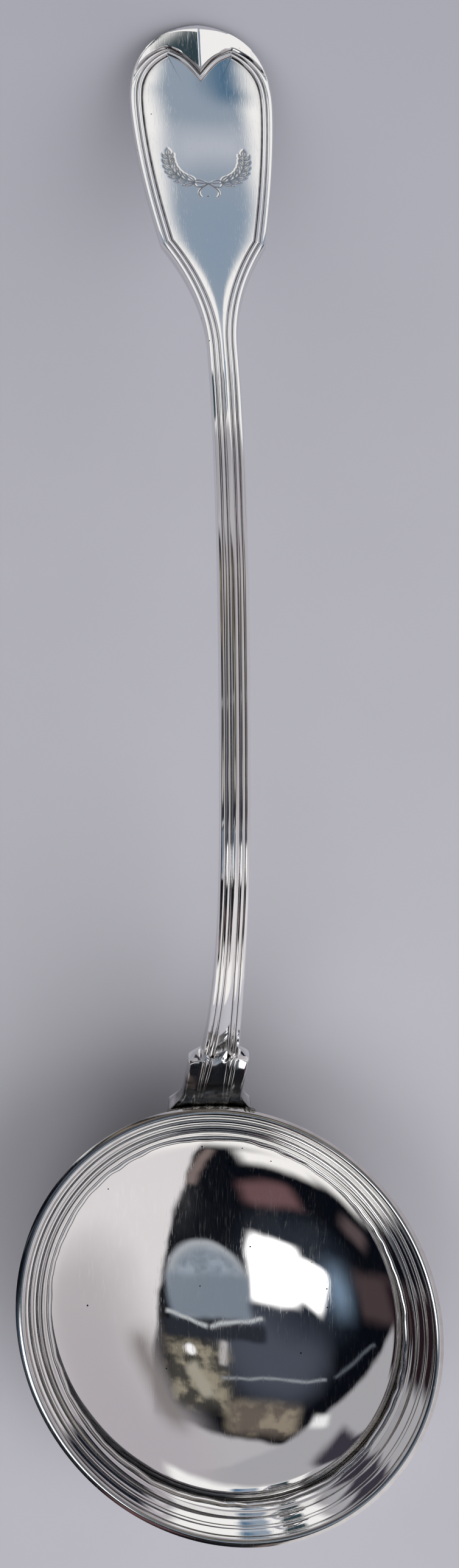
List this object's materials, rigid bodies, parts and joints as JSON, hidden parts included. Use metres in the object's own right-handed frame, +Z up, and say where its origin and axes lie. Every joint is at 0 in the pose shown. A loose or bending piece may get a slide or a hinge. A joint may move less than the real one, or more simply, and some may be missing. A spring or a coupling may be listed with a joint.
{
  "type": "soup ladle",
  "caption": "Soup ladle with a round flared bowl, a reeded lip and a long arched handle that ends in a fiddle-shaped, thread-edged grip.",
  "frame": {"origin": "middle of the small flat under the bowl that the ladle stands on", "axes": "+Y from the bowl towards the end of the handle, +Z up out of the bowl"},
  "size_m": [0.0928, 0.3341, 0.08],
  "materials": {
    "bowl": "raised sterling silver, polished",
    "rim_moulding": "drawn sterling silver moulding, polished",
    "rim_solder": "silver solder, dull",
    "handle": "forged and die struck sterling silver, polished",
    "heel_solder": "silver solder, dull"
  },
  "bodies": {
    "root": {"bowl": "bowl", "rim_moulding": "rim_moulding", "rim_solder": "rim_solder", "handle": "handle", "heel_solder": "heel_solder"}
  },
  "joints": []
}
